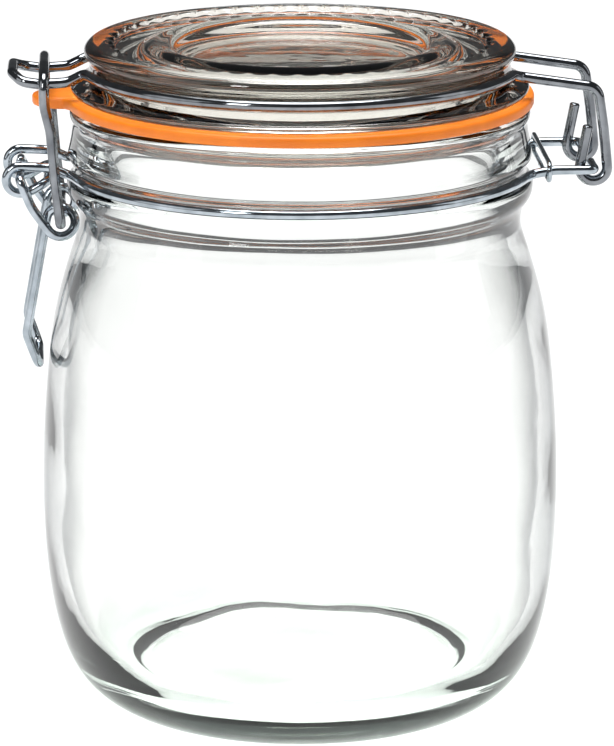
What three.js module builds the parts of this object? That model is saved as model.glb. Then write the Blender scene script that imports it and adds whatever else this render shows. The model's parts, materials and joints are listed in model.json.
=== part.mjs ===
// Wire-bail clamp jar: a glass preserving jar whose glass lid is hinged on one side and
// pulled down on a rubber gasket by an over-centre wire lever on the other.
//
// Frame: millimetres, +Z up. The origin is on the jar's axis, on the surface it stands on.
// +X points to the hinge and -X to the clasp. The XZ plane is the plane of symmetry.
// The jar is drawn closed and latched. All hinge axes run along Y.

import * as THREE from 'three';

// ---------------------------------------------------------------- driving dimensions

const GAP = 0.3; // clearance left between pieces that touch
const HEAVY_WIRE = 2.1; // diameter of the lid wire and the bail link
const LIGHT_WIRE = 1.9; // diameter of the neck wire and the lever
const CLIP_WIRE = 1.0; // diameter of the ring clip

const BODY_R = 52.7; // widest radius of the glass body
const RIM_Z = 122.2; // top of the jar's rim
const MOUTH_R = 41; // inner radius of the mouth
const WALL = 3.8; // glass thickness of the body
const GROOVE_R = 45.4; // bottom of the groove that holds the neck wire
const NECK_WIRE_Z = 109.6; // height of the neck wire and its groove

const GASKET_T = 2.2;
const GASKET_R = 46.9;
const SPIGOT_R = 39.9; // the lid's inner ring, which the gasket sits round
const SPIGOT_DEPTH = 8.2; // how far the ring reaches down into the mouth
const TAB_END_X = -53.6; // tip of the gasket's pull tab
const TAB_HALF_W = 6;

const LID_R = 43.2; // upper disc of the lid
const FLANGE_R = 45.9; // lower flange of the lid, which presses on the gasket
const LID_H = 10.1; // flange underside to the top of the lid's rim
const LID_GROOVE_R = 42.2; // bottom of the groove that holds the lid wire
const LID_WIRE_Z = 130;

const NOSE_Y = 8.7; // half the spread of the lid wire's clasp loop
const EYE_Y = 8.6; // half the spread of the neck wire's two eyes
const ARM_Y = 11; // half the spread of the lever's arms, outside the eyes
const HANDLE_Y = 8.6; // half the spread of the lever's handle
const LINK_Y = 13.4; // half the spread of the bail link's legs, outside the arms
const LINK_TOP_Z = 134; // height of the bail link's bar over the nose
const HINGE_ARM_Y = 11.3; // half the spread of the lid wire's hinge hooks
const STRAND_Y = 13.7; // half the spread of the neck wire's hinge strands

const HINGE = { x: 58, z: 110.7 }; // hinge pins, which the lid turns on
const EYE = { x: -56.2, z: 108.8, r: 2.7 }; // centre line of an eye
const LEVER_PIN = { x: EYE.x, z: EYE.z + 0.5 }; // lever pins, pulled up in the eyes
const ELBOW = { x: -53.9, z: 103.5 }; // where the lever's arms bow outwards
const COIL = { x: -48.2, z: 100.5, r: 2.85 }; // lever coils, which the link turns in
const KINK = { x: -55.4, z: 77.2 }; // where the handle bends in towards the jar
const TIP = { x: -53, z: 70.5 }; // end of the handle

// ---------------------------------------------------------------- fineness of the mesh

const LATHE_SIDES = 48;
const WIRE_SIDES = 8;
const HOOP_STEP = (2 * Math.PI) / LATHE_SIDES;
const BEND_STEP = Math.PI / 7;

const GASKET_Z = RIM_Z + GAP;
const LID_Z = GASKET_Z + GASKET_T + GAP;

// ---------------------------------------------------------------- materials

const glass = () => new THREE.MeshStandardMaterial({
  color: 0xdfe9e4,
  roughness: 0.05,
  metalness: 0,
  transparent: true,
  opacity: 0.35,
});

const rubber = () => new THREE.MeshStandardMaterial({
  color: 0xf07a1c,
  roughness: 0.55,
  metalness: 0,
});

const zincWire = () => new THREE.MeshStandardMaterial({
  color: 0xb4b8bc,
  roughness: 0.3,
  metalness: 1,
});

// ---------------------------------------------------------------- shape helpers

// A point in space.
const at = (x, y, z) => new THREE.Vector3(x, y, z);

// A corner of a wire's route, bent to a centre-line radius.
const bend = (x, y, z, radius) => ({ point: at(x, y, z), radius });

// The mirror image of a route in the XZ plane, run the other way.
function mirrored(route) {
  return route.map((p) => at(p.x, -p.y, p.z)).reverse();
}

// Stations along straight runs between corners, with an arc at each inner corner.
function bentRoute(corners) {
  const stations = [corners[0].point];
  for (let i = 1; i < corners.length - 1; i += 1) {
    const { point, radius } = corners[i];
    const back = corners[i - 1].point.clone().sub(point).normalize();
    const ahead = corners[i + 1].point.clone().sub(point).normalize();
    const half = back.angleTo(ahead) / 2;
    const turn = Math.PI - 2 * half;
    const middle = back.clone().add(ahead).normalize();
    const centre = point.clone().addScaledVector(middle, radius / Math.sin(half));
    const first = point.clone().addScaledVector(back, radius / Math.tan(half)).sub(centre);
    const last = point.clone().addScaledVector(ahead, radius / Math.tan(half)).sub(centre);
    const steps = Math.max(1, Math.ceil(turn / BEND_STEP));
    for (let k = 0; k <= steps; k += 1) {
      const a = (turn * k) / steps;
      const station = centre.clone();
      station.addScaledVector(first, Math.sin(turn - a) / Math.sin(turn));
      station.addScaledVector(last, Math.sin(a) / Math.sin(turn));
      stations.push(station);
    }
  }
  stations.push(corners[corners.length - 1].point);
  return stations;
}

// Stations on an arc about an axis along Y, with Y running evenly from y0 to y1.
function coilRoute(centre, fromAngle, toAngle, y0, y1) {
  const turn = toAngle - fromAngle;
  const steps = Math.ceil(Math.abs(turn) / BEND_STEP);
  const stations = [];
  for (let k = 0; k <= steps; k += 1) {
    const a = fromAngle + (turn * k) / steps;
    const y = y0 + ((y1 - y0) * k) / steps;
    stations.push(at(centre.x + centre.r * Math.cos(a), y, centre.z + centre.r * Math.sin(a)));
  }
  return stations;
}

// Stations on part of a level hoop round the jar's axis.
function hoopRoute(radius, z, fromAngle, toAngle) {
  const turn = toAngle - fromAngle;
  const steps = Math.ceil(Math.abs(turn) / HOOP_STEP);
  const stations = [];
  for (let k = 0; k <= steps; k += 1) {
    const a = fromAngle + (turn * k) / steps;
    stations.push(at(radius * Math.cos(a), radius * Math.sin(a), z));
  }
  return stations;
}

// A route that is swept from station to station, however far apart they are.
class WireRoute extends THREE.Curve {
  constructor(stations) {
    super();
    this.stations = stations;
  }

  getPoint(t) {
    const place = t * (this.stations.length - 1);
    const i = Math.min(Math.floor(place), this.stations.length - 2);
    return this.stations[i].clone().lerp(this.stations[i + 1], place - i);
  }

  getPointAt(t) {
    return this.getPoint(t);
  }

  getTangentAt(t) {
    const last = this.stations.length - 1;
    const i = Math.round(t * last);
    const before = this.stations[Math.max(i - 1, 0)];
    const here = this.stations[i];
    const after = this.stations[Math.min(i + 1, last)];
    const arriving = here.clone().sub(before).normalize();
    const leaving = after.clone().sub(here).normalize();
    return arriving.add(leaving).normalize();
  }
}

// A round wire along a route, closed at both ends.
function wireGeometry(stations, diameter) {
  const section = new THREE.Shape();
  for (let k = 0; k < WIRE_SIDES; k += 1) {
    const a = (2 * Math.PI * (k + 0.5)) / WIRE_SIDES;
    const corner = [(diameter / 2) * Math.cos(a), (diameter / 2) * Math.sin(a)];
    if (k === 0) {
      section.moveTo(...corner);
    } else {
      section.lineTo(...corner);
    }
  }
  return new THREE.ExtrudeGeometry(section, {
    steps: stations.length - 1,
    extrudePath: new WireRoute(stations),
  });
}

// A solid of revolution about Z from [radius, height] points that start and end on the axis.
function turnedGeometry(profile) {
  const points = profile.map(([r, z]) => new THREE.Vector2(r, z));
  const geometry = new THREE.LatheGeometry(points, LATHE_SIDES);
  geometry.rotateX(Math.PI / 2);
  return geometry;
}

// ---------------------------------------------------------------- glass jar

// Under the base, up the outside, over the rim, down the inside and along the floor.
function jarBody() {
  const outside = [
    [0, 2.4], [30, 1.8], [35, 0.6], [36, 0], [39.5, 0], [41.4, 0.7],
    [44.6, 3.2], [47.2, 7], [49.2, 12], [51.1, 20], [52.3, 30],
    [BODY_R, 42], [52.4, 54], [51.5, 66], [50.4, 76], [48.7, 84],
    [46.4, 92], [45.1, 96], [44.6, 98.6], [45, 102], [46.7, 105],
    [46.7, 107.2], [GROOVE_R, NECK_WIRE_Z - 0.9], [GROOVE_R, NECK_WIRE_Z + 0.9],
    [46.7, 112.2], [46, 115.6], [45.6, 120], [45.2, RIM_Z - 0.5], [44.6, RIM_Z],
  ];
  const inside = [
    [MOUTH_R + 0.6, RIM_Z], [MOUTH_R, RIM_Z - 0.8], [MOUTH_R, 112],
    [40.6, 106], [40.3, 99], [42.4, 91], [45, 84], [47.2, 74],
    [BODY_R - WALL - 0.5, 60], [BODY_R - WALL, 42], [48, 26],
    [45.8, 16], [42, 9.5], [36, 6.6], [31, 6], [0, 8],
  ];
  const profile = [...outside, ...inside];
  return new THREE.Mesh(turnedGeometry(profile), glass());
}

// ---------------------------------------------------------------- glass lid

// Underside with its spigot, out to the flange, up past the wire groove and over the rim,
// then in across the raised ring to the sunken middle of the top.
function lid() {
  const top = LID_Z + LID_H;
  const spigotZ = LID_Z - SPIGOT_DEPTH;
  const underside = [
    [0, LID_Z + 2.6], [23, LID_Z + 2.6], [26.5, LID_Z + 4.2], [30, LID_Z + 4.2],
    [33.4, LID_Z + 0.2], [35, spigotZ + 0.9], [36.2, spigotZ], [37.8, spigotZ],
    [38.9, spigotZ + 1], [SPIGOT_R, LID_Z],
  ];
  const edge = [
    [FLANGE_R - 0.6, LID_Z], [FLANGE_R, LID_Z + 0.6], [FLANGE_R, LID_Z + 1.3],
    [FLANGE_R - 1.1, LID_Z + 2], [LID_GROOVE_R, LID_WIRE_Z - 1.6], [LID_GROOVE_R, LID_WIRE_Z + 1.4],
    [LID_R, LID_Z + 7.6], [LID_R, top - 1.2], [LID_R - 1.1, top],
  ];
  const face = [
    [38.4, top], [37, top - 1.2], [32, top - 1.4], [30.6, top - 0.8],
    [28, top - 0.4], [25.8, top - 1.2], [24.6, top - 3.4], [0, top - 3.8],
  ];
  return new THREE.Mesh(turnedGeometry([...underside, ...edge, ...face]), glass());
}

// ---------------------------------------------------------------- rubber gasket

// A flat ring with a rounded pull tab that passes through the bail link.
function gasket() {
  const rootAngle = Math.asin((TAB_HALF_W + 2) / GASKET_R);
  const tipCentreX = TAB_END_X + TAB_HALF_W;
  const outline = new THREE.Shape();
  outline.absarc(0, 0, GASKET_R, -Math.PI + rootAngle, Math.PI - rootAngle, false);
  outline.lineTo(tipCentreX, TAB_HALF_W);
  outline.absarc(tipCentreX, 0, TAB_HALF_W, Math.PI / 2, (3 * Math.PI) / 2, false);
  outline.closePath();
  const hole = new THREE.Path();
  hole.absarc(0, 0, SPIGOT_R + GAP, 0, 2 * Math.PI, true);
  outline.holes.push(hole);
  const geometry = new THREE.ExtrudeGeometry(outline, {
    depth: GASKET_T,
    steps: 1,
    bevelEnabled: false,
    curveSegments: LATHE_SIDES,
  });
  const mesh = new THREE.Mesh(geometry, rubber());
  mesh.position.z = GASKET_Z;
  return mesh;
}

// ---------------------------------------------------------------- lid wire

// Front half, from the tip of the nose round the lid to the free end of the hinge hook.
function lidWireHalf() {
  const hoopR = LID_GROOVE_R + GAP + HEAVY_WIRE / 2;
  const noseAngle = Math.asin((NOSE_Y + 2.4) / hoopR);
  const armAngle = Math.asin((HINGE_ARM_Y + 2.4) / hoopR);
  const nose = bentRoute([
    bend(-57.4, 0, 129.9, 0),
    bend(-57.4, -5.2, 129.8, 2.5),
    bend(-55.4, -NOSE_Y, 128.6, 2.5),
    bend(-51.9, -NOSE_Y, 128.1, 4),
    bend(-46.4, -NOSE_Y, 128.4, 5),
    bend(-43.2, -NOSE_Y + 0.2, LID_WIRE_Z, 1.2),
    bend(-hoopR * Math.cos(noseAngle), -NOSE_Y - 2.4, LID_WIRE_Z, 0),
  ]);
  const hoop = hoopRoute(hoopR, LID_WIRE_Z, -Math.PI + noseAngle + HOOP_STEP, -armAngle);
  const hookR = HINGE.x + 2.75;
  const arm = bentRoute([
    bend(hoop[hoop.length - 1].x, hoop[hoop.length - 1].y, LID_WIRE_Z, 0),
    bend(43, -HINGE_ARM_Y, 129.2, 1.8),
    bend(58.6, -HINGE_ARM_Y, 126.9, 2.8),
    bend(59.9, -HINGE_ARM_Y, 118.5, 12),
    bend(hookR, -HINGE_ARM_Y, HINGE.z, 0),
  ]);
  const hook = coilRoute({ ...HINGE, r: 2.75 }, 0, -Math.PI - 0.2, -HINGE_ARM_Y, -HINGE_ARM_Y);
  const freeEnd = at(56.8, -HINGE_ARM_Y, 119.2);
  return [...nose, ...hoop, ...arm.slice(1), ...hook.slice(1), freeEnd];
}

function lidWire() {
  const half = lidWireHalf();
  const whole = [...mirrored(half), ...half.slice(1)];
  return new THREE.Mesh(wireGeometry(whole, HEAVY_WIRE), zincWire());
}

// ---------------------------------------------------------------- neck wire

// Front half, from the middle of the cross bar behind the eyes round the neck to the hinge pin.
function neckWireHalf() {
  const hoopR = GROOVE_R + GAP + LIGHT_WIRE / 2;
  const eyeAngle = Math.asin((EYE_Y + 2.4) / hoopR);
  const strandAngle = Math.asin((STRAND_Y + 2.4) / hoopR);
  const crossBar = bentRoute([
    bend(-50.6, 0, 108.5, 0),
    bend(-50.6, -EYE_Y, 108.5, 1.7),
    bend(EYE.x + 1.4, -EYE_Y, EYE.z - EYE.r, 0),
  ]);
  const eye = coilRoute(EYE, -Math.PI / 2, (-3 * Math.PI) / 2, -EYE_Y, -EYE_Y);
  const shank = bentRoute([
    bend(EYE.x + 1, -EYE_Y, EYE.z + EYE.r, 0),
    bend(-50, -EYE_Y, 111.2, 4),
    bend(-46.4, -EYE_Y + 0.2, NECK_WIRE_Z, 1.2),
    bend(-hoopR * Math.cos(eyeAngle), -EYE_Y - 2.4, NECK_WIRE_Z, 0),
  ]);
  const hoop = hoopRoute(hoopR, NECK_WIRE_Z, -Math.PI + eyeAngle + HOOP_STEP, -strandAngle);
  const strand = bentRoute([
    bend(hoop[hoop.length - 1].x, hoop[hoop.length - 1].y, NECK_WIRE_Z, 0),
    bend(45.8, -STRAND_Y, 110, 1.8),
    bend(50, -STRAND_Y, HINGE.z, 5),
    bend(HINGE.x, -STRAND_Y, HINGE.z, 1.4),
    bend(HINGE.x, -6.5, HINGE.z, 0),
  ]);
  return [...crossBar, ...eye, ...shank, ...hoop, ...strand.slice(1)];
}

function neckWire() {
  const half = neckWireHalf();
  const whole = [...mirrored(half), ...half.slice(1)];
  return new THREE.Mesh(wireGeometry(whole, LIGHT_WIRE), zincWire());
}

// ---------------------------------------------------------------- ring clip

// A long loop of thin wire that holds the neck wire's two hinge strands together.
function ringClip() {
  const x = 48.8;
  const y = STRAND_Y + (LIGHT_WIRE + CLIP_WIRE) / 2 + GAP;
  const rise = (LIGHT_WIRE + CLIP_WIRE) / 2 + GAP;
  const z = 110.5;
  const route = bentRoute([
    bend(x, 0.3, z - rise, 0),
    bend(x, y, z - rise, 1.6),
    bend(x, y, z + rise, 1.6),
    bend(x, -y, z + rise, 1.6),
    bend(x, -y, z - rise, 1.6),
    bend(x, -0.3, z - rise, 0),
  ]);
  return new THREE.Mesh(wireGeometry(route, CLIP_WIRE), zincWire());
}

// ---------------------------------------------------------------- lever

// Direction in which a line from a point meets a circle that it then follows anticlockwise.
function tangentDirection(from, circle) {
  const distance = Math.hypot(circle.x - from.x, circle.z - from.z);
  return Math.atan2(circle.z - from.z, circle.x - from.x) - Math.asin(circle.r / distance);
}

// Direction in which a line leaves a circle that it has followed anticlockwise to meet a point.
function leavingDirection(circle, to) {
  const distance = Math.hypot(to.x - circle.x, to.z - circle.z);
  return Math.atan2(to.z - circle.z, to.x - circle.x) + Math.asin(circle.r / distance);
}

// Front half, from the pin in the eye down the arm, round the coil and down the handle.
function leverHalf() {
  const arriving = tangentDirection(ELBOW, COIL);
  const leaving = leavingDirection(COIL, KINK) + 2 * Math.PI;
  const coil = coilRoute(COIL, arriving - Math.PI / 2, leaving - Math.PI / 2, -ARM_Y, -HANDLE_Y);
  const arm = bentRoute([
    bend(LEVER_PIN.x, -6.6, LEVER_PIN.z, 0),
    bend(LEVER_PIN.x, -ARM_Y, LEVER_PIN.z, 1.4),
    bend(ELBOW.x, -ARM_Y, ELBOW.z, 12),
    { point: coil[0], radius: 0 },
  ]);
  const handle = bentRoute([
    { point: coil[coil.length - 1], radius: 0 },
    bend(KINK.x, -HANDLE_Y, KINK.z, 3.5),
    bend(TIP.x, -HANDLE_Y + 0.6, TIP.z, 2.6),
    bend(TIP.x, 0, TIP.z, 0),
  ]);
  return [...arm, ...coil.slice(1), ...handle.slice(1)];
}

function lever() {
  const half = leverHalf();
  const whole = [...half, ...mirrored(half).slice(1)];
  return new THREE.Mesh(wireGeometry(whole, LIGHT_WIRE), zincWire());
}

// ---------------------------------------------------------------- bail link

// Front half, from the pin in the coil up the leg to the middle of the top. The top is arched
// high enough to swing off over the lid wire's nose without touching it.
function bailLinkHalf() {
  return bentRoute([
    bend(COIL.x, -6.8, COIL.z, 0),
    bend(COIL.x, -LINK_Y, COIL.z, 1.5),
    bend(-49.2, -LINK_Y, 110, 20),
    bend(-49.9, -LINK_Y, 119.5, 12),
    bend(-51.1, -LINK_Y, 124.5, 8),
    bend(-51.1, -LINK_Y, 129.9, 2.6),
    bend(-51.1, -6.8, LINK_TOP_Z, 3),
    bend(-51.1, 0, LINK_TOP_Z, 0),
  ]);
}

function bailLink() {
  const half = bailLinkHalf();
  const whole = [...half, ...mirrored(half).slice(1)];
  return new THREE.Mesh(wireGeometry(whole, HEAVY_WIRE), zincWire());
}

// ---------------------------------------------------------------- assembly

const pieces = {
  jar_body: jarBody(),
  neck_wire: neckWire(),
  ring_clip: ringClip(),
  lid: lid(),
  gasket: gasket(),
  lid_wire: lidWire(),
  lever: lever(),
  bail_link: bailLink(),
};

const jar = new THREE.Group();
for (const [name, mesh] of Object.entries(pieces)) {
  mesh.name = name;
  jar.add(mesh);
}

export default jar;
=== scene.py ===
"""Looks of the bail clamp jar: clear pressed glass, an orange rubber gasket and bright plated wire.

Every shape is given in millimetres in the CAD frame, +Z up, +X to the hinge and -X to the clasp,
and is written to its mesh in metres. Every piece is symmetric in the plane Y = 0, apart from the
slight wave inside the glass body.
"""

import json
from math import asin, atan2, ceil, cos, exp, hypot, pi, radians, sin, tan

import bmesh
import bpy
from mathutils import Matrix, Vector


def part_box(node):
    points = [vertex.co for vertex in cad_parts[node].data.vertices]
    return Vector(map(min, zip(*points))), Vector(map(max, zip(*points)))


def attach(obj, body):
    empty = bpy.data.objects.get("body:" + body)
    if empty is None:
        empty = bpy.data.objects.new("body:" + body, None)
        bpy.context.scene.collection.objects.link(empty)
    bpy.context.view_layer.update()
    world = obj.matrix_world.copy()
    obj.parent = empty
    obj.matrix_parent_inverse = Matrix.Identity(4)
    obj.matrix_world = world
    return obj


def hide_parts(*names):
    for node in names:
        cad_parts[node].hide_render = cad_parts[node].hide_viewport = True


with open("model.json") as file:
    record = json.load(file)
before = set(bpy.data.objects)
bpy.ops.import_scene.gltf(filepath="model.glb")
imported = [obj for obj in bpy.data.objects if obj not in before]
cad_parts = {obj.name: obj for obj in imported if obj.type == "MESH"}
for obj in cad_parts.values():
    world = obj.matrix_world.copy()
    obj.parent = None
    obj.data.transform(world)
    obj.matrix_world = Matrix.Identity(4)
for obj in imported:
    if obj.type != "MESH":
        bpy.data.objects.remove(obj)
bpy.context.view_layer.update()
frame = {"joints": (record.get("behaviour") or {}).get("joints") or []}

MM = 0.001
GAP = 0.3  # clearance between pieces that nearly touch

# ---------------------------------------------------------------- sizes read from the frame


def node_mm(node):
    """Lowest and highest corner of a CAD node, in millimetres."""
    low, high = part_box(node)
    return low / MM, high / MM


def pivot_mm(joint_name):
    """Where a joint's axis crosses the plane of symmetry, as (x, z) in millimetres."""
    joint = next(j for j in frame["joints"] if j["name"] == joint_name)
    x, _, z = joint["pos_m"]
    return x / MM, z / MM


_, JAR_HIGH = node_mm("jar_body")
_, LID_HIGH = node_mm("lid")
GASKET_LOW, GASKET_HIGH = node_mm("gasket")

BODY_R = JAR_HIGH.x
RIM_Z = JAR_HIGH.z
LID_TOP = LID_HIGH.z
FLANGE_R = LID_HIGH.y
FLANGE_Z = GASKET_HIGH.z + GAP
GASKET_R = GASKET_HIGH.y
TAB_END_X = GASKET_LOW.x
HINGE = pivot_mm("lid_hinge")
LEVER_PIN = pivot_mm("lever_pivot")
COIL = pivot_mm("link_pivot")

# ---------------------------------------------------------------- sizes shared with the CAD model

HEAVY_WIRE = 2.1
LIGHT_WIRE = 1.9
CLIP_WIRE = 1.0
WALL = 3.8
MOUTH_R = 41
GROOVE_R = 45.4
NECK_WIRE_Z = 109.6
SPIGOT_R = 39.9
SPIGOT_DEPTH = 8.2
TAB_HALF_W = 6
LID_R = 43.2
LID_GROOVE_R = 42.2
LID_WIRE_Z = 130
NOSE_Y = 8.7
EYE_Y = 8.6
ARM_Y = 11
HANDLE_Y = 8.6
LINK_Y = 13.4
HINGE_ARM_Y = 11.3
STRAND_Y = 13.7
HINGE_PIN_END_Y = 6.5
LEVER_PIN_END_Y = 6.6
LINK_PIN_END_Y = 6.8
JOG = 2.4  # how far beside an arm its wire joins the hoop
EYE = (LEVER_PIN[0], LEVER_PIN[1] - 0.5)
EYE_R = 2.7
HOOK_R = 2.75
COIL_R = 2.85
ELBOW = (-53.9, 103.5)
KINK = (-55.4, 77.2)
TIP = (-53.0, 70.5)

# ---------------------------------------------------------------- fineness

GLASS_SIDES = 400
WIRE_SIDES = 20
BEND_STEP = radians(7)
HOOP_STEP = radians(3)
PROFILE_STEP = 1.6
PROFILE_TURN = radians(6)
SHORTEST_STEP = 0.35
ROUND = 99  # ease of a profile's corner that is rounded right to the middle of both its sides

# ---------------------------------------------------------------- mesh helpers


def mesh_piece(name, points, faces, material):
    """A smooth-shaded piece from points in millimetres, with its faces pointing out."""
    mesh = bpy.data.meshes.new(name)
    mesh.from_pydata([tuple(MM * c for c in p) for p in points], [], faces)
    solid = bmesh.new()
    solid.from_mesh(mesh)
    bmesh.ops.recalc_face_normals(solid, faces=solid.faces)
    for face in solid.faces:
        face.smooth = True
    solid.to_mesh(mesh)
    solid.free()
    mesh.materials.append(material)
    piece = bpy.data.objects.new(name, mesh)
    bpy.context.scene.collection.objects.link(piece)
    return piece


def stands_for(piece, node, body):
    """The piece replaces a CAD node and moves with its body."""
    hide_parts(node)
    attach(piece, body)


def softened(corners):
    """Points of a profile of (radius, height, ease) corners. Each corner is rounded by a parabola
    that starts its ease before the corner, and no step is longer than PROFILE_STEP."""
    points = [Vector(corners[0][:2])]
    for before, at, after in zip(corners, corners[1:], corners[2:]):
        here = Vector(at[:2])
        back = Vector(before[:2]) - here
        ahead = Vector(after[:2]) - here
        start = here + back * min(0.5, at[2] / back.length)
        end = here + ahead * min(0.5, at[2] / ahead.length)
        turn = pi - back.angle(ahead)
        steps = max(2, ceil(turn / PROFILE_TURN), ceil((end - start).length / PROFILE_STEP))
        for k in range(steps + 1):
            t = k / steps
            points.append(start * (1 - t) ** 2 + here * (2 * t * (1 - t)) + end * t**2)
    points.append(Vector(corners[-1][:2]))
    same_point = 1e-4
    fine = [points[0]]
    for point in points[1:]:
        first = fine[-1]
        way = point - first
        if way.length < same_point:
            continue
        steps = ceil(way.length / PROFILE_STEP)
        fine += [first + way * (k / steps) for k in range(1, steps + 1)]
    return fine


def turned(name, corners, material, shape=None):
    """A solid of revolution about Z. Its profile starts and ends on the axis. Where it is given,
    shape(r, z, angle, share) gives each point's new (r, z). The share says how far along the
    profile the point's ring lies, from 0 to 1."""
    profile = softened(corners)
    rings = profile[1:-1]
    points = [(0, 0, profile[0].y), (0, 0, profile[-1].y)]
    for i, (r, z) in enumerate(rings):
        for k in range(GLASS_SIDES):
            angle = 2 * pi * k / GLASS_SIDES
            new_r, new_z = shape(r, z, angle, i / len(rings)) if shape else (r, z)
            points.append((new_r * cos(angle), new_r * sin(angle), new_z))
    faces = []
    last = 2 + (len(rings) - 1) * GLASS_SIDES
    for k in range(GLASS_SIDES):
        after = (k + 1) % GLASS_SIDES
        faces.append((0, 2 + after, 2 + k))
        faces.append((1, last + k, last + after))
        for i in range(len(rings) - 1):
            low = 2 + i * GLASS_SIDES
            high = low + GLASS_SIDES
            faces.append((low + k, low + after, high + after, high + k))
    return mesh_piece(name, points, faces, material)


# ---------------------------------------------------------------- wire helpers


def corner(x, y, z, radius=0.0):
    """A corner of a wire's route, bent to a centre-line radius."""
    return Vector((x, y, z)), radius


def mirrored(route):
    """The mirror image of a route in the plane Y = 0, run the other way."""
    return [Vector((p.x, -p.y, p.z)) for p in reversed(route)]


def bent_route(corners):
    """Stations along straight runs, with an arc at each inner corner."""
    stations = [corners[0][0]]
    for (before, _), (point, radius), (after, _) in zip(corners, corners[1:], corners[2:]):
        back = (before - point).normalized()
        ahead = (after - point).normalized()
        half = back.angle(ahead) / 2
        turn = pi - 2 * half
        centre = point + (back + ahead).normalized() * (radius / sin(half))
        first = point + back * (radius / tan(half)) - centre
        last = point + ahead * (radius / tan(half)) - centre
        steps = max(2, ceil(turn / BEND_STEP))
        for k in range(steps + 1):
            a = turn * k / steps
            stations.append(centre + (first * sin(turn - a) + last * sin(a)) / sin(turn))
    stations.append(corners[-1][0])
    return stations


def coil_route(centre, radius, from_angle, to_angle, y0, y1):
    """Stations on an arc about an axis along Y, with Y running evenly from y0 to y1."""
    steps = ceil(abs(to_angle - from_angle) / BEND_STEP)
    stations = []
    for k in range(steps + 1):
        share = k / steps
        a = from_angle + (to_angle - from_angle) * share
        x = centre[0] + radius * cos(a)
        z = centre[1] + radius * sin(a)
        stations.append(Vector((x, y0 + (y1 - y0) * share, z)))
    return stations


def hoop_route(radius, z, from_angle, to_angle):
    """Stations on part of a level hoop round the jar's axis."""
    steps = ceil(abs(to_angle - from_angle) / HOOP_STEP)
    angles = [from_angle + (to_angle - from_angle) * k / steps for k in range(steps + 1)]
    return [Vector((radius * cos(a), radius * sin(a), z)) for a in angles]


def eased(stations):
    """The same route with its remaining kinks cut into short smooth bends."""
    passes = 3
    for _ in range(passes):
        cut = [stations[0]]
        for a, b in zip(stations, stations[1:]):
            cut += [a.lerp(b, 0.25), a.lerp(b, 0.75)]
        stations = cut + [stations[-1]]
    kept = [stations[0]]
    for point in stations[1:-1]:
        if (point - kept[-1]).length > SHORTEST_STEP:
            kept.append(point)
    return kept + [stations[-1]]


def wire(name, stations, diameter, material):
    """A round wire along a route, with flat ends whose rims are slightly rounded."""
    route = eased(stations)
    tangents = []
    for i in range(len(route)):
        before = route[max(i - 1, 0)]
        after = route[min(i + 1, len(route) - 1)]
        tangents.append((after - before).normalized())
    side = tangents[0].orthogonal().normalized()
    sections = []
    rim = 0.12 * diameter  # how far the edge of each end is cut back
    for i, (point, tangent) in enumerate(zip(route, tangents)):
        side = (side - tangent * side.dot(tangent)).normalized()
        radius = diameter / 2
        if i == 0:
            sections.append((point, side, tangent, radius - rim))
            sections.append((point + tangent * rim, side, tangent, radius))
        elif i == len(route) - 1:
            sections.append((point - tangent * rim, side, tangent, radius))
            sections.append((point, side, tangent, radius - rim))
        else:
            sections.append((point, side, tangent, radius))
    points = [route[0], route[-1]]
    for point, side, tangent, radius in sections:
        across = tangent.cross(side)
        for k in range(WIRE_SIDES):
            a = 2 * pi * k / WIRE_SIDES
            points.append(point + side * (radius * cos(a)) + across * (radius * sin(a)))
    faces = []
    last = 2 + (len(sections) - 1) * WIRE_SIDES
    for k in range(WIRE_SIDES):
        after = (k + 1) % WIRE_SIDES
        faces.append((0, 2 + after, 2 + k))
        faces.append((1, last + k, last + after))
        for i in range(len(sections) - 1):
            low = 2 + i * WIRE_SIDES
            high = low + WIRE_SIDES
            faces.append((low + k, low + after, high + after, high + k))
    return mesh_piece(name, points, faces, material)


# ---------------------------------------------------------------- material helpers


def new_material(name):
    """An empty node material: its nodes, its links and its output node."""
    material = bpy.data.materials.new(name)
    material.use_nodes = True
    nodes = material.node_tree.nodes
    nodes.clear()
    output = nodes.new("ShaderNodeOutputMaterial")
    return material, nodes, material.node_tree.links, output


def noise(nodes, links, scale, detail):
    """The value of a noise fixed to the piece, in its own metres."""
    place = nodes.new("ShaderNodeTexCoord").outputs["Object"]
    texture = nodes.new("ShaderNodeTexNoise")
    texture.inputs["Scale"].default_value = scale
    texture.inputs["Detail"].default_value = detail
    links.new(place, texture.inputs["Vector"])
    return texture.outputs["Fac"]


def ramp(nodes, links, value, stops):
    """A colour ramp over a value. stops are (position, colour)."""
    node = nodes.new("ShaderNodeValToRGB")
    elements = node.color_ramp.elements
    while len(elements) < len(stops):
        elements.new(0.5)
    for element, (position, colour) in zip(elements, stops):
        element.position = position
        element.color = (*colour, 1)
    links.new(value, node.inputs["Fac"])
    return node.outputs["Color"]


def bump(nodes, links, height, distance, strength):
    """A bump of a height, as deep as the distance in metres."""
    node = nodes.new("ShaderNodeBump")
    node.inputs["Distance"].default_value = distance
    node.inputs["Strength"].default_value = strength
    links.new(height, node.inputs["Height"])
    return node.outputs["Normal"]


def arithmetic(nodes, links, operation, first, second):
    """The result of an operation on two values, each a number or a socket."""
    node = nodes.new("ShaderNodeMath")
    node.operation = operation
    for socket, value in zip(node.inputs, (first, second)):
        if isinstance(value, (int, float)):
            socket.default_value = value
        else:
            links.new(value, socket)
    return node.outputs["Value"]


def spread(nodes, links, value, low, high):
    """A value from 0 to 1, spread from low to high."""
    node = nodes.new("ShaderNodeMapRange")
    node.inputs["To Min"].default_value = low
    node.inputs["To Max"].default_value = high
    links.new(value, node.inputs["Value"])
    return node.outputs["Result"]


# ---------------------------------------------------------------- materials


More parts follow.
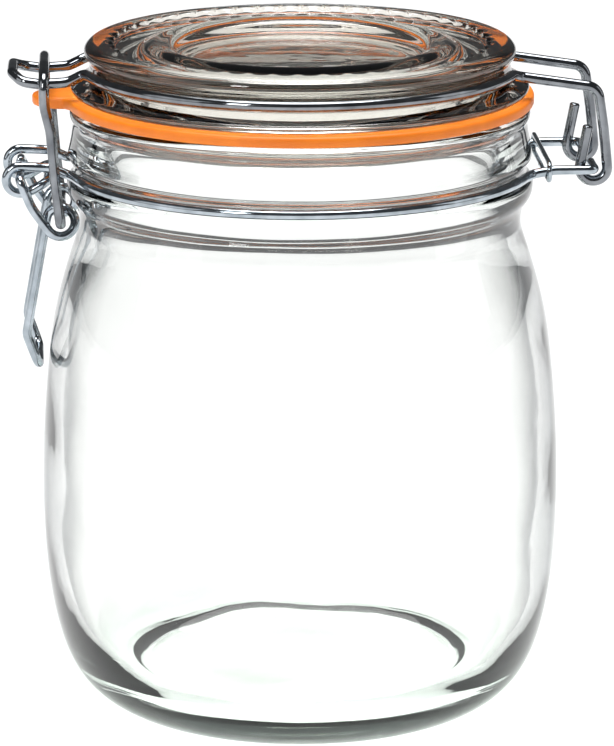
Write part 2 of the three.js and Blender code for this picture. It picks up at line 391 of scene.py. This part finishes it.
def glass(name, clear, edge, wave, body_colour, density):
    """Clear pressed glass. Its upright walls darken from the clear colour towards the edge colour
    where they are seen at a glancing angle. This is a painted shade that stands in for dark
    surroundings the scene doesn't have. Its surface waves slightly, and its thick parts take
    the body colour."""
    material, nodes, links, output = new_material(name)
    facing = nodes.new("ShaderNodeLayerWeight")
    facing.inputs["Blend"].default_value = 0.5
    normal = nodes.new("ShaderNodeSeparateXYZ")
    links.new(nodes.new("ShaderNodeTexCoord").outputs["Normal"], normal.inputs["Vector"])
    level = arithmetic(nodes, links, "MULTIPLY", normal.outputs["Z"], normal.outputs["Z"])
    upright = arithmetic(nodes, links, "SUBTRACT", 1.0, level)
    painted_shade_amount = arithmetic(nodes, links, "MULTIPLY", facing.outputs["Facing"], upright)
    middle = [(c + e) / 2 for c, e in zip(clear, edge)]
    stops = [(0.0, clear), (0.5, clear), (0.66, middle), (0.82, edge)]
    # painted shade: the glass colour darkens towards the edge colour at glancing angles, standing in
    # for dark surroundings
    painted_edge_shade = ramp(nodes, links, painted_shade_amount, stops)
    shader = nodes.new("ShaderNodeBsdfPrincipled")
    shader.inputs["IOR"].default_value = 1.5
    shader.inputs["Transmission Weight"].default_value = 1.0
    smears = noise(nodes, links, 35, 4)
    links.new(spread(nodes, links, smears, 0.0, 0.012), shader.inputs["Roughness"])
    links.new(painted_edge_shade, shader.inputs["Base Color"])
    ripple = noise(nodes, links, 70, 2)
    links.new(bump(nodes, links, ripple, wave, 1.0), shader.inputs["Normal"])
    lets_lamps_through = nodes.new("ShaderNodeBsdfTransparent")
    lets_lamps_through.inputs["Color"].default_value = (0.93, 0.95, 0.94, 1)
    path = nodes.new("ShaderNodeLightPath")
    mix = nodes.new("ShaderNodeMixShader")
    links.new(path.outputs["Is Shadow Ray"], mix.inputs["Fac"])
    links.new(shader.outputs["BSDF"], mix.inputs[1])
    links.new(lets_lamps_through.outputs["BSDF"], mix.inputs[2])
    links.new(mix.outputs["Shader"], output.inputs["Surface"])
    inside = nodes.new("ShaderNodeVolumeAbsorption")
    inside.inputs["Color"].default_value = (*body_colour, 1)
    inside.inputs["Density"].default_value = density
    links.new(inside.outputs["Volume"], output.inputs["Volume"])
    return material


def rubber(name):
    """Smooth orange rubber with a faint mottle and a fine moulded grain."""
    material, nodes, links, output = new_material(name)
    shader = nodes.new("ShaderNodeBsdfPrincipled")
    mottle = noise(nodes, links, 160, 4)
    stops = [(0.35, (0.86, 0.20, 0.004)), (0.65, (0.94, 0.235, 0.006))]
    links.new(ramp(nodes, links, mottle, stops), shader.inputs["Base Color"])
    links.new(spread(nodes, links, mottle, 0.38, 0.52), shader.inputs["Roughness"])
    shader.inputs["Subsurface Weight"].default_value = 0.12
    shader.inputs["Subsurface Radius"].default_value = (0.004, 0.0015, 0.0005)
    grain = noise(nodes, links, 2200, 2)
    links.new(bump(nodes, links, grain, 0.00004, 0.5), shader.inputs["Normal"])
    links.new(shader.outputs["BSDF"], output.inputs["Surface"])
    return material


def plated_wire(name, dull, bright):
    """Zinc plating on drawn steel wire, in cloudy patches of two tones, with fine dents."""
    material, nodes, links, output = new_material(name)
    shader = nodes.new("ShaderNodeBsdfPrincipled")
    shader.inputs["Metallic"].default_value = 1.0
    clouds = noise(nodes, links, 260, 5)
    stops = [(0.3, dull), (0.7, bright)]
    links.new(ramp(nodes, links, clouds, stops), shader.inputs["Base Color"])
    links.new(spread(nodes, links, clouds, 0.05, 0.16), shader.inputs["Roughness"])
    dents = noise(nodes, links, 700, 3)
    links.new(bump(nodes, links, dents, 0.00003, 0.5), shader.inputs["Normal"])
    links.new(shader.outputs["BSDF"], output.inputs["Surface"])
    return material


def pale_floor(name):
    """A plain off-white sweep with an almost invisible unevenness."""
    material, nodes, links, output = new_material(name)
    shader = nodes.new("ShaderNodeBsdfPrincipled")
    stops = [(0.3, (0.87, 0.87, 0.87)), (0.7, (0.9, 0.9, 0.9))]
    patches = noise(nodes, links, 3, 3)
    links.new(ramp(nodes, links, patches, stops), shader.inputs["Base Color"])
    shader.inputs["Roughness"].default_value = 0.7
    shader.inputs["Specular IOR Level"].default_value = 0.2
    links.new(shader.outputs["BSDF"], output.inputs["Surface"])
    return material


# ---------------------------------------------------------------- glass body


def jar_body(material):
    """Base ring, up the outside over the neck's two beads and the rim, down the inside to the
    floor. The inside waves a little, as pressed and blown glass does."""
    outside = [
        (0, 2.4, 0), (12, 2.4, ROUND), (30, 1.8, 5), (35, 0.6, 1), (36, 0, 0.7), (39.5, 0, 1.1),
        (41.4, 0.7, ROUND), (44.6, 3.2, ROUND), (47.2, 7, ROUND), (49.3, 12, ROUND),
        (51.2, 20, ROUND), (52.35, 30, ROUND), (BODY_R, 42, ROUND), (52.45, 54, ROUND),
        (51.55, 66, ROUND), (50.5, 76, ROUND), (48.8, 84, ROUND), (46.4, 92, ROUND),
        (45, 96, ROUND), (44.4, 98.6, ROUND), (44.9, 102, ROUND), (46.9, 104.8, 1.4),
        (46.9, 107.4, 0.8), (GROOVE_R, NECK_WIRE_Z - 0.9, 0.6),
        (GROOVE_R, NECK_WIRE_Z + 0.9, 0.6), (46.8, 112.1, 1.1), (46, 115.6, ROUND),
        (45.6, 119.2, 1.2), (46.2, 120.2, 0.5), (46.2, 121.3, 0.5), (45, RIM_Z, 0.7),
    ]
    inside = [
        (MOUTH_R + 0.7, RIM_Z, 0.6), (MOUTH_R, RIM_Z - 0.9, 0.6), (MOUTH_R, 112, ROUND),
        (40.6, 106, ROUND), (40.2, 99, ROUND), (42.3, 91, ROUND), (45.1, 84, ROUND),
        (47.3, 74, ROUND), (48.5, 60, ROUND), (BODY_R - WALL, 42, ROUND),
        (48.1, 26, ROUND), (46, 16, ROUND), (42.4, 9.4, ROUND), (36, 6.4, 2.5),
        (31, 6, 3), (16, 8, ROUND), (0, 8, 0),
    ]
    outer_share = len(softened(outside)) / len(softened(outside + inside))
    calm_r = 30  # the floor doesn't wave inside this radius
    heel_z = 8
    heel_spread = 5
    wall_depth = 0.05
    heel_depth = 0.16

    def waved(r, z, angle, share):
        """Three crossing waves round the inside, deepest at the heel."""
        if share < outer_share or r < calm_r:
            return r, z
        wave = sin(3 * angle + z / 7) + sin(5 * angle - z / 5 + 1) + 0.7 * sin(11 * angle + z / 4)
        heel = exp(-((z - heel_z) / heel_spread) ** 2)
        return r + (wall_depth + heel_depth * heel) * wave, z

    piece = turned("glass_body", outside + inside, material, waved)
    stands_for(piece, "jar_body", "jar")


# ---------------------------------------------------------------- glass lid


def glass_lid(material):
    """Underside with its spigot, flange, wire groove and rim, then the dished top with its raised
    ring. A ring of small bumps stands on the inner edge of the rim."""
    underside = [
        (0, FLANGE_Z + 2.6, 0), (12, FLANGE_Z + 2.6, ROUND), (23, FLANGE_Z + 2.6, 1.5),
        (26.5, FLANGE_Z + 4.2, 1.5), (30, FLANGE_Z + 4.2, 1.5), (33.4, FLANGE_Z + 0.2, 1.5),
        (35, FLANGE_Z - SPIGOT_DEPTH + 0.9, 0.8), (36.2, FLANGE_Z - SPIGOT_DEPTH, 0.6),
        (37.8, FLANGE_Z - SPIGOT_DEPTH, 0.6), (38.9, FLANGE_Z - SPIGOT_DEPTH + 1, 0.8),
        (SPIGOT_R, FLANGE_Z, 0.4),
    ]
    edge = [
        (FLANGE_R - 0.6, FLANGE_Z, 0.4), (FLANGE_R, FLANGE_Z + 0.6, 0.4),
        (FLANGE_R, FLANGE_Z + 1.4, 0.5), (FLANGE_R - 1.2, FLANGE_Z + 2.1, 0.8),
        (LID_GROOVE_R, LID_WIRE_Z - 1.6, 0.7), (LID_GROOVE_R, LID_WIRE_Z + 1.3, 0.6),
        (LID_R, FLANGE_Z + 7.5, 0.7), (LID_R, LID_TOP - 1.3, 0.8), (LID_R - 1.4, LID_TOP, 1.0),
    ]
    face = [
        (38.4, LID_TOP, 0.7), (37.2, LID_TOP - 1.2, 0.8), (31.8, LID_TOP - 1.4, 0.9),
        (30.4, LID_TOP - 0.7, 0.9), (28.4, LID_TOP - 0.2, 1.2), (25.8, LID_TOP - 0.9, 1.1),
        (24.4, LID_TOP - 3.4, 1.1), (12, LID_TOP - 3.8, ROUND), (0, LID_TOP - 3.8, 0),
    ]
    bumps = 50
    bump_r = 38.3
    bump_height = 0.7
    bump_depth = 0.9
    bump_length = 0.8
    bump_width = 0.7
    lowest_z = LID_TOP - 2.2
    reach = 1.6

    def knurled(r, z, angle, share):
        """Evenly spaced round bumps that stand up and lean inwards, no higher than the rim."""
        if z < lowest_z or abs(r - bump_r) > reach:
            return r, z
        along = (angle * bumps / (2 * pi) + 0.5) % 1 - 0.5
        along_mm = along * 2 * pi * bump_r / bumps
        hill = exp(-((along_mm / bump_length) ** 2) - ((r - bump_r) / bump_width) ** 2)
        return r - bump_depth * hill, min(z + bump_height * hill, LID_TOP)

    piece = turned("glass_lid", underside + edge + face, material, knurled)
    stands_for(piece, "lid", "lid")


# ---------------------------------------------------------------- rubber gasket


def gasket(material):
    """A flat rubber ring with rounded edges and a tongue-shaped pull tab."""
    flare = 2.2
    tip_x = TAB_END_X + TAB_HALF_W
    root = asin((TAB_HALF_W + flare) / GASKET_R)
    flank = atan2(TAB_HALF_W, -tip_x)
    low, high = GASKET_LOW.z, GASKET_HIGH.z

    def reach(away):
        """Outer radius at an angle away from the tab's middle."""
        if away >= root:
            return GASKET_R
        if away > flank:
            x0, y0 = -GASKET_R * cos(root), GASKET_R * sin(root)
            ax, ay = -cos(away), sin(away)
            dx, dy = tip_x - x0, TAB_HALF_W - y0
            return (x0 * dy - y0 * dx) / (ax * dy - ay * dx)
        across = -tip_x * sin(away)
        return -tip_x * cos(away) + (TAB_HALF_W**2 - across**2) ** 0.5

    tip_steps, flank_steps, ring_steps = 24, 16, 120
    away_angles = [flank * k / tip_steps for k in range(tip_steps)]
    away_angles += [flank + (root - flank) * k / flank_steps for k in range(flank_steps)]
    away_angles += [root + (pi - root) * k / ring_steps for k in range(ring_steps + 1)]
    angles = [(pi + a, reach(a)) for a in away_angles]
    angles += [(pi - a, reach(a)) for a in reversed(away_angles[1:-1])]
    inner = SPIGOT_R + GAP
    edge = 0.55
    section = [(0, edge), (0, high - low - edge)]
    section += [(edge * 0.3, high - low - edge * 0.3), (edge, high - low)]
    points = []
    for angle, outer in angles:
        ring = [(inner + s, low + h) for s, h in section]
        ring += [(outer - s, low + h) for s, h in reversed(section)]
        ring += [(outer - s, high - h) for s, h in section[2:]]
        ring += [(inner + s, high - h) for s, h in reversed(section[2:])]
        points += [(r * cos(angle), r * sin(angle), z) for r, z in ring]
    count = len(section) * 4 - 4
    faces = []
    for i in range(len(angles)):
        j = (i + 1) % len(angles)
        for k in range(count):
            n = (k + 1) % count
            faces.append((i * count + k, i * count + n, j * count + n, j * count + k))
    piece = mesh_piece("rubber_gasket", points, faces, material)
    stands_for(piece, "gasket", "lid")


# ---------------------------------------------------------------- wires


def lid_wire(material):
    """One wire from the middle of the nose round the lid to the hooks on the hinge pins."""
    hoop_r = LID_GROOVE_R + GAP + HEAVY_WIRE / 2
    nose_angle = asin((NOSE_Y + JOG) / hoop_r)
    arm_angle = asin((HINGE_ARM_Y + JOG) / hoop_r)
    nose = bent_route([
        corner(-57.4, 0, 129.9),
        corner(-57.4, -5.2, 129.8, 2.5),
        corner(-55.4, -NOSE_Y, 128.6, 2.5),
        corner(-51.9, -NOSE_Y, 128.1, 4),
        corner(-46.4, -NOSE_Y, 128.4, 5),
        corner(-43.2, -NOSE_Y + 0.2, LID_WIRE_Z, 1.2),
        corner(-hoop_r * cos(nose_angle), -NOSE_Y - JOG, LID_WIRE_Z),
    ])
    hoop = hoop_route(hoop_r, LID_WIRE_Z, -pi + nose_angle + HOOP_STEP, -arm_angle)
    arm = bent_route([
        (hoop[-1], 0.0),
        corner(43, -HINGE_ARM_Y, 129.2, 1.8),
        corner(58.6, -HINGE_ARM_Y, 126.9, 2.8),
        corner(59.9, -HINGE_ARM_Y, 118.5, 12),
        corner(HINGE[0] + HOOK_R, -HINGE_ARM_Y, HINGE[1]),
    ])
    hook = coil_route(HINGE, HOOK_R, 0, -pi - 0.2, -HINGE_ARM_Y, -HINGE_ARM_Y)
    free_end = Vector((56.8, -HINGE_ARM_Y, 119.2))
    half = nose + hoop + arm[1:] + hook[1:] + [free_end]
    piece = wire("wire_of_lid", mirrored(half) + half[1:], HEAVY_WIRE, material)
    stands_for(piece, "lid_wire", "lid")


def neck_wire(material):
    """One wire from the bar behind the eyes, through an eye and round the neck to a hinge pin."""
    hoop_r = GROOVE_R + GAP + LIGHT_WIRE / 2
    eye_angle = asin((EYE_Y + JOG) / hoop_r)
    strand_angle = asin((STRAND_Y + JOG) / hoop_r)
    bar_x, bar_z = -50.6, 108.5
    cross_bar = bent_route([
        corner(bar_x, 0, bar_z),
        corner(bar_x, -EYE_Y, bar_z, 1.7),
        corner(EYE[0] + 1.4, -EYE_Y, EYE[1] - EYE_R),
    ])
    eye = coil_route(EYE, EYE_R, -pi / 2, -3 * pi / 2, -EYE_Y, -EYE_Y)
    shank = bent_route([
        corner(EYE[0] + 1, -EYE_Y, EYE[1] + EYE_R),
        corner(-50, -EYE_Y, 111.2, 4),
        corner(-46.4, -EYE_Y + 0.2, NECK_WIRE_Z, 1.2),
        corner(-hoop_r * cos(eye_angle), -EYE_Y - JOG, NECK_WIRE_Z),
    ])
    hoop = hoop_route(hoop_r, NECK_WIRE_Z, -pi + eye_angle + HOOP_STEP, -strand_angle)
    strand = bent_route([
        (hoop[-1], 0.0),
        corner(45.8, -STRAND_Y, 110, 1.8),
        corner(50, -STRAND_Y, HINGE[1], 5),
        corner(HINGE[0], -STRAND_Y, HINGE[1], 1.4),
        corner(HINGE[0], -HINGE_PIN_END_Y, HINGE[1]),
    ])
    half = cross_bar + eye + shank + hoop + strand[1:]
    piece = wire("wire_of_neck", mirrored(half) + half[1:], LIGHT_WIRE, material)
    stands_for(piece, "neck_wire", "jar")


def ring_clip(material):
    """A long loop of thin wire round the two hinge strands, open by a hair at the bottom."""
    x, z = 48.8, 110.5
    half_opening = 0.3
    rise = (LIGHT_WIRE + CLIP_WIRE) / 2 + GAP
    y = STRAND_Y + rise
    route = bent_route([
        corner(x, half_opening, z - rise),
        corner(x, y, z - rise, 1.6),
        corner(x, y, z + rise, 1.6),
        corner(x, -y, z + rise, 1.6),
        corner(x, -y, z - rise, 1.6),
        corner(x, -half_opening, z - rise),
    ])
    piece = wire("clip_of_strands", route, CLIP_WIRE, material)
    stands_for(piece, "ring_clip", "jar")


def lever(material):
    """One wire: pins in the eyes, bowed arms, a coil on each side and the handle loop."""
    elbow_to_coil = hypot(COIL[0] - ELBOW[0], COIL[1] - ELBOW[1])
    arriving = atan2(COIL[1] - ELBOW[1], COIL[0] - ELBOW[0]) - asin(COIL_R / elbow_to_coil)
    coil_to_kink = hypot(KINK[0] - COIL[0], KINK[1] - COIL[1])
    leaving = atan2(KINK[1] - COIL[1], KINK[0] - COIL[0]) + asin(COIL_R / coil_to_kink) + 2 * pi
    coil = coil_route(COIL, COIL_R, arriving - pi / 2, leaving - pi / 2, -ARM_Y, -HANDLE_Y)
    arm = bent_route([
        corner(LEVER_PIN[0], -LEVER_PIN_END_Y, LEVER_PIN[1]),
        corner(LEVER_PIN[0], -ARM_Y, LEVER_PIN[1], 1.4),
        corner(ELBOW[0], -ARM_Y, ELBOW[1], 12),
        (coil[0], 0.0),
    ])
    handle = bent_route([
        (coil[-1], 0.0),
        corner(KINK[0], -HANDLE_Y, KINK[1], 3.5),
        corner(TIP[0], -HANDLE_Y + 0.6, TIP[1], 2.6),
        corner(TIP[0], 0, TIP[1]),
    ])
    half = arm + coil[1:] + handle[1:]
    piece = wire("lever_wire", half + mirrored(half)[1:], LIGHT_WIRE, material)
    stands_for(piece, "lever", "lever")


def bail_link(material):
    """One wire: pins in the lever's coils, two legs and the bar that holds the nose down. The CAD
    model's bar is arched higher, to clear the nose as it swings. This one lies on the nose, and
    passes through it while the lever turns from about 2 to 11 degrees."""
    bar_x, bar_z = -51.1, 131.2
    half = bent_route([
        corner(COIL[0], -LINK_PIN_END_Y, COIL[1]),
        corner(COIL[0], -LINK_Y, COIL[1], 1.5),
        corner(-49.2, -LINK_Y, 110, 20),
        corner(-49.9, -LINK_Y, 119.5, 12),
        corner(bar_x, -LINK_Y, 124.5, 8),
        corner(bar_x, -LINK_Y, 129.9, 2.6),
        corner(bar_x, -5, bar_z, 14),
        corner(bar_x, 0, bar_z),
    ])
    piece = wire("bail_link_wire", half + mirrored(half)[1:], HEAVY_WIRE, material)
    stands_for(piece, "bail_link", "bail_link")


# ---------------------------------------------------------------- camera, floor and lights

AIM = Vector((0, 0, 66)) * MM
CAMERA_DISTANCE = 0.85
CAMERA_ELEVATION = radians(15)
CAMERA_AZIMUTH = radians(-3)
LENS = 201
SIDE_SHIFT = 0.0094  # sets the jar a little left of the picture's middle
FLOOR_RADIUS = 6
FLOOR_DROP = 0.02 * MM  # keeps the floor from lying in the base ring's own plane
ROOM_COLOUR = (0.08, 0.084, 0.088, 1)


def add_camera():
    """The camera in front of the jar and a few degrees to its left, looking down on the lid."""
    level = cos(CAMERA_ELEVATION)
    back = Vector((sin(CAMERA_AZIMUTH) * level, -cos(CAMERA_AZIMUTH) * level, sin(CAMERA_ELEVATION)))
    data = bpy.data.cameras.new("camera")
    data.lens = LENS
    data.shift_x = SIDE_SHIFT
    camera = bpy.data.objects.new("camera", data)
    camera.location = AIM + back * CAMERA_DISTANCE
    camera.rotation_mode = "QUATERNION"
    camera.rotation_quaternion = (-back).to_track_quat("-Z", "Y")
    bpy.context.scene.collection.objects.link(camera)
    bpy.context.scene.camera = camera


def add_floor():
    """A wide round floor just under the jar."""
    mesh = bpy.data.meshes.new("floor")
    angles = [radians(a) for a in range(0, 360, 5)]
    rim = [(FLOOR_RADIUS * cos(a), FLOOR_RADIUS * sin(a), 0) for a in angles]
    mesh.from_pydata(rim, [], [tuple(range(len(rim)))])
    mesh.materials.append(pale_floor("floor_white"))
    floor = bpy.data.objects.new("floor", mesh)
    floor.location.z = -FLOOR_DROP
    bpy.context.scene.collection.objects.link(floor)


def add_softbox(name, place, size, power):
    """A rectangular soft light that faces the jar."""
    data = bpy.data.lights.new(name, "AREA")
    data.shape = "RECTANGLE"
    data.size, data.size_y = size
    data.energy = power
    light = bpy.data.objects.new(name, data)
    light.location = place
    light.rotation_mode = "QUATERNION"
    light.rotation_quaternion = (AIM - light.location).to_track_quat("-Z", "Y")
    bpy.context.scene.collection.objects.link(light)


def add_lights():
    """A wide even light from above, a large softbox overhead, one each side and a small key light
    in front, in a dim room."""
    above = bpy.data.lights.new("above", "SUN")
    above.energy = 2.3
    above.angle = radians(40)
    bpy.context.scene.collection.objects.link(bpy.data.objects.new("above", above))
    add_softbox("overhead", (0, 0.2, 1.9), (1.4, 1.4), 20)
    add_softbox("left", (-1.5, -0.5, 0.7), (1.0, 1.0), 3)
    add_softbox("right", (1.5, -0.1, 0.7), (0.7, 1.0), 2.5)
    add_softbox("key", (-0.75, -1.05, 0.75), (0.22, 0.5), 5)
    world = bpy.data.worlds.new("room")
    world.use_nodes = True
    world.node_tree.nodes["Background"].inputs["Color"].default_value = ROOM_COLOUR
    bpy.context.scene.world = world
    bpy.context.scene.view_settings.view_transform = "Standard"


# ---------------------------------------------------------------- making

add_camera()
add_floor()
add_lights()

# Each glass's second colour is the painted shade its upright walls take at glancing angles.
body_glass = glass(
    "body_glass", (0.985, 0.985, 0.98), (0.05, 0.055, 0.06), 0.00006, (0.78, 0.84, 0.80), 30
)
lid_glass = glass(
    "lid_glass", (0.90, 0.87, 0.82), (0.09, 0.085, 0.075), 0.00010, (0.70, 0.69, 0.66), 50
)
# Lit and shaded copies of one plating: the darker copy is painted shade for the lid wire and bail
# link, the paler copy is painted light for the neck wire, clip and lever.
painted_shade_wire = plated_wire("painted_shade_plated_wire", (0.15, 0.16, 0.175), (0.30, 0.315, 0.335))
painted_light_wire = plated_wire("painted_light_plated_wire", (0.27, 0.31, 0.34), (0.50, 0.55, 0.60))

jar_body(body_glass)
glass_lid(lid_glass)
gasket(rubber("gasket_rubber"))
lid_wire(painted_shade_wire)
neck_wire(painted_light_wire)
ring_clip(painted_light_wire)
lever(painted_light_wire)
bail_link(painted_shade_wire)
